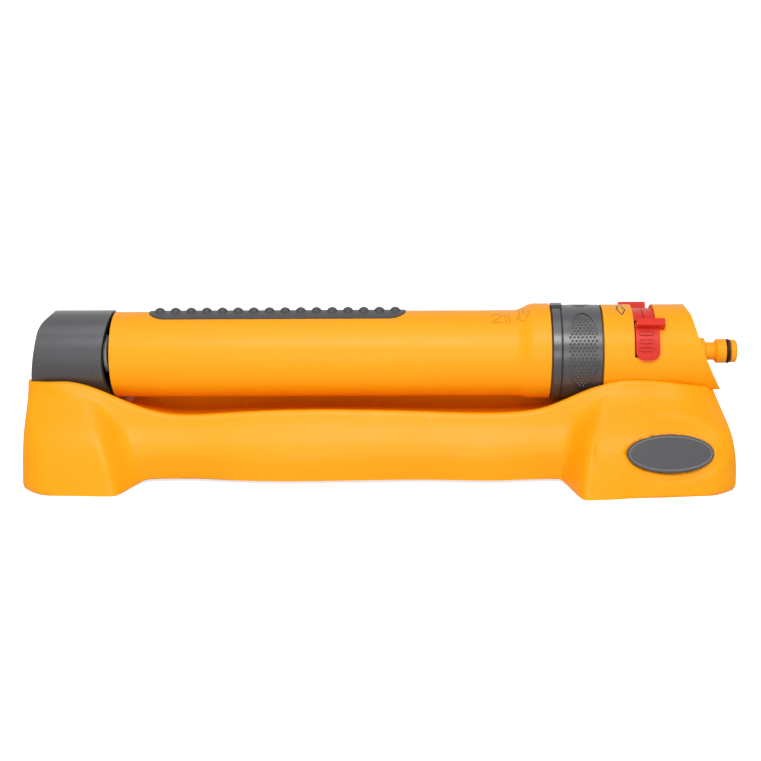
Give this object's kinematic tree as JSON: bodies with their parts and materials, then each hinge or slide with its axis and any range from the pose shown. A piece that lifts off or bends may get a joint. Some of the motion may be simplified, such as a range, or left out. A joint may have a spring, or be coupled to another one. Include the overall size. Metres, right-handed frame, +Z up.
{
  "type": "oscillating lawn sprinkler",
  "caption": "Oscillating lawn sprinkler: yellow hourglass base, swinging spray barrel with rubber nozzle strip, grey selector collar and end cap, red limit sliders, hose nose.",
  "frame": {"origin": "middle of the bounding box at ground level, under the base", "axes": "+X along the barrel towards the hose inlet, +Z up, -Y towards the front with the badge"},
  "size_m": [0.4644, 0.1502, 0.1105],
  "materials": {
    "yellow_plastic": "satin moulded",
    "grey_plastic": "fine textured",
    "badge_grey": "satin",
    "red_plastic": "satin moulded",
    "strip_rubber": "matt",
    "seal_rubber": "matt",
    "white_acetal": "natural",
    "black_plastic": "moulded",
    "stainless": "drawn"
  },
  "bodies": {
    "base": {"base": "yellow_plastic", "badge": "badge_grey", "case_screws": "stainless", "end_cap": "grey_plastic", "end_bush": "white_acetal", "control_housing": "yellow_plastic", "hose_inlet": "yellow_plastic", "inlet_o_ring": "seal_rubber", "inlet_filter": "stainless", "inlet_spindle": "black_plastic", "spindle_gear": "white_acetal"},
    "barrel": {"spray_tube": "yellow_plastic", "nozzle_strip": "strip_rubber", "tube_end_plug": "black_plastic", "motor_case": "black_plastic", "jet_plate": "black_plastic", "gear_plate": "black_plastic", "motor_cover": "black_plastic", "spindle_seal": "seal_rubber", "central_axle": "stainless", "offset_pin": "stainless", "lever_pin": "stainless"},
    "collar": {"selector_collar": "grey_plastic", "selector_disc": "black_plastic"},
    "turbine": {"turbine_wheel": "white_acetal"},
    "gear_a": {"gear_a": "white_acetal"},
    "gear_b": {"gear_b": "white_acetal"},
    "gear_c": {"gear_c": "white_acetal"},
    "trip_lever": {"trip_lever": "white_acetal"},
    "front_slider": {"front_slider": "red_plastic"},
    "rear_slider": {"rear_slider": "red_plastic"}
  },
  "joints": [
    {"name": "barrel_swing", "type": "hinge", "parent": "base", "child": "barrel", "pos_m": [0, 0, 0.078], "axis": [1, 0, 0], "range_deg": [-50, 50]},
    {"name": "collar_turn", "type": "hinge", "parent": "barrel", "child": "collar", "pos_m": [0.126, 0, 0.078], "axis": [1, 0, 0], "range_deg": [-60, 60]},
    {"name": "front_slider_turn", "type": "hinge", "parent": "base", "child": "front_slider", "pos_m": [0.1692, 0, 0.078], "axis": [1, 0, 0], "range_deg": [-32, 22]},
    {"name": "rear_slider_turn", "type": "hinge", "parent": "base", "child": "rear_slider", "pos_m": [0.1692, 0, 0.078], "axis": [1, 0, 0], "range_deg": [-22, 32]},
    {"name": "trip_lever_turn", "type": "hinge", "parent": "barrel", "child": "trip_lever", "pos_m": [0.149, 0, 0.094], "axis": [1, 0, 0], "range_deg": [-8, 8]},
    {"name": "gear_c_turn", "type": "hinge", "parent": "barrel", "child": "gear_c", "pos_m": [0.136, 0, 0.0654], "axis": [1, 0, 0], "range_deg": [-126, 126]},
    {"name": "gear_b_turn", "type": "hinge", "parent": "barrel", "child": "gear_b", "pos_m": [0.13, 0, 0.078], "axis": [1, 0, 0], "range_deg": [-313, 313]},
    {"name": "gear_a_turn", "type": "hinge", "parent": "barrel", "child": "gear_a", "pos_m": [0.127, 0, 0.0654], "axis": [1, 0, 0], "range_deg": [-782, 782]},
    {"name": "turbine_turn", "type": "hinge", "parent": "barrel", "child": "turbine", "pos_m": [0.118, 0, 0.078], "axis": [1, 0, 0], "range_deg": [-1954, 1954]}
  ],
  "couplings": [
    {"joint": "gear_c_turn", "follows": "barrel_swing", "ratio": 2.5},
    {"joint": "gear_b_turn", "follows": "barrel_swing", "ratio": -6.25},
    {"joint": "gear_a_turn", "follows": "barrel_swing", "ratio": 15.625},
    {"joint": "turbine_turn", "follows": "barrel_swing", "ratio": -39.062}
  ]
}
